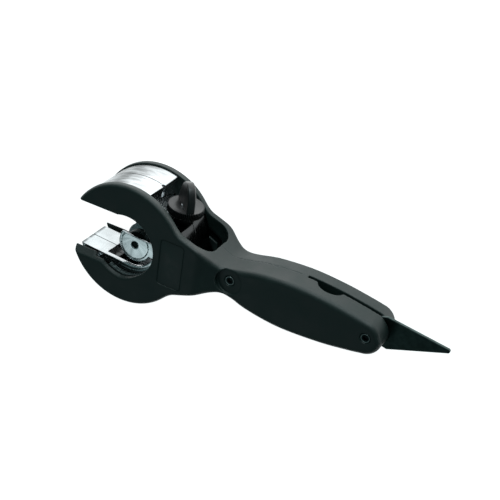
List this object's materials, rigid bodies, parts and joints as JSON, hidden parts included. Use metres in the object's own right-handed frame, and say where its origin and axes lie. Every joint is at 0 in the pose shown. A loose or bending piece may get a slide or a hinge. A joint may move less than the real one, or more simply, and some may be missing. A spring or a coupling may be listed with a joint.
{
  "type": "ratcheting tube cutter",
  "caption": "C-jaw ratcheting tube cutter: a geared rotor with rollers, a screw-fed cutting wheel and knob turns in a two-half handle with a fold-out reamer.",
  "frame": {"origin": "centre of the bounding box, on the plane that the tool lies on", "axes": "+X from the jaw towards the tail and the reamer, +Y towards the side of the feed knob, +Z out of the flat side that shows the screw heads"},
  "size_m": [0.2422, 0.0858, 0.043],
  "materials": {
    "handle_nylon": "matte, glass-filled",
    "label_blank": "satin, blank",
    "black_screw_steel": "black oxide",
    "brass": "turned",
    "tool_steel": "ground",
    "spring_steel": "bright wire",
    "blade_steel": "black oxide, sharp edges bright",
    "zinc": "die-cast, bright plated",
    "steel": "zinc plated",
    "knob_plastic": "satin black"
  },
  "bodies": {
    "handle": {"front_handle_half": "handle_nylon", "back_handle_half": "handle_nylon", "blank_label_plate": "label_blank", "neck_screw": "black_screw_steel", "neck_nut": "black_screw_steel", "tail_screw": "black_screw_steel", "tail_nut": "black_screw_steel", "reamer_bushing": "brass", "front_pawl_pin": "steel", "back_pawl_pin": "steel", "front_pawl_spring": "spring_steel", "back_pawl_spring": "spring_steel"},
    "front_pawl": {"front_pawl": "tool_steel"},
    "back_pawl": {"back_pawl": "tool_steel"},
    "reamer": {"reamer_blade": "blade_steel"},
    "rotor": {"rotor_front_half": "zinc", "rotor_back_half": "zinc", "rotor_screw_1": "steel", "rotor_screw_2": "steel", "rotor_screw_3": "steel", "front_ratchet_ring": "tool_steel", "back_ratchet_ring": "tool_steel", "front_ring_rivet_1": "steel", "front_ring_rivet_2": "steel", "back_ring_rivet_1": "steel", "back_ring_rivet_2": "steel", "left_roller_pin": "steel", "right_roller_pin": "steel", "thrust_washer": "steel", "screw_retaining_clip": "steel"},
    "left_roller": {"left_guide_roller": "steel"},
    "right_roller": {"right_guide_roller": "steel"},
    "knob": {"feed_knob": "knob_plastic", "feed_screw": "steel"},
    "carriage": {"wheel_carriage": "zinc", "feed_nut": "steel", "wheel_axle": "steel"},
    "wheel": {"cutting_wheel": "tool_steel", "front_wheel_sleeve": "black_screw_steel", "back_wheel_sleeve": "black_screw_steel"}
  },
  "joints": [
    {"name": "front_pawl_lift", "type": "hinge", "parent": "handle", "child": "front_pawl", "pos_m": [-0.04597, -0.0109, 0.039], "axis": [0, 0, 1], "range_deg": [-9, 0], "stiffness_Nm_per_rad": 0.03, "springref_deg": 8.59, "deforming": ["front_pawl_spring"]},
    {"name": "back_pawl_lift", "type": "hinge", "parent": "handle", "child": "back_pawl", "pos_m": [-0.04597, -0.0109, 0.004], "axis": [0, 0, 1], "range_deg": [-9, 0], "stiffness_Nm_per_rad": 0.03, "springref_deg": 8.59, "deforming": ["back_pawl_spring"]},
    {"name": "reamer_fold", "type": "hinge", "parent": "handle", "child": "reamer", "pos_m": [0.07493, -0.0039, 0.0215], "axis": [0, 0, 1], "range_deg": [0, 157]},
    {"name": "rotor_turn", "type": "hinge", "parent": "handle", "child": "rotor", "pos_m": [-0.08397, -0.0029, 0.0215], "axis": [0, 0, 1], "continuous": true},
    {"name": "left_roller_spin", "type": "hinge", "parent": "rotor", "child": "left_roller", "pos_m": [-0.08966, 0.0146, 0.0215], "axis": [0, 0, 1], "continuous": true},
    {"name": "right_roller_spin", "type": "hinge", "parent": "rotor", "child": "right_roller", "pos_m": [-0.07708, 0.01416, 0.0215], "axis": [0, 0, 1], "continuous": true},
    {"name": "knob_turn", "type": "hinge", "parent": "rotor", "child": "knob", "pos_m": [-0.05823, -0.0047, 0.0215], "axis": [0.0698, 0.9976, 0], "range_deg": [-961, 4921]},
    {"name": "carriage_slide", "type": "slide", "parent": "rotor", "child": "carriage", "axis": [0.0698, 0.9976, 0], "range_m": [-0.0205, 0.004]},
    {"name": "wheel_spin", "type": "hinge", "parent": "carriage", "child": "wheel", "pos_m": [-0.08329, -0.00746, 0.0215], "axis": [0, 0, 1], "continuous": true}
  ],
  "couplings": [
    {"joint": "knob_turn", "follows": "carriage_slide", "rad_per_m": -4188.8}
  ]
}
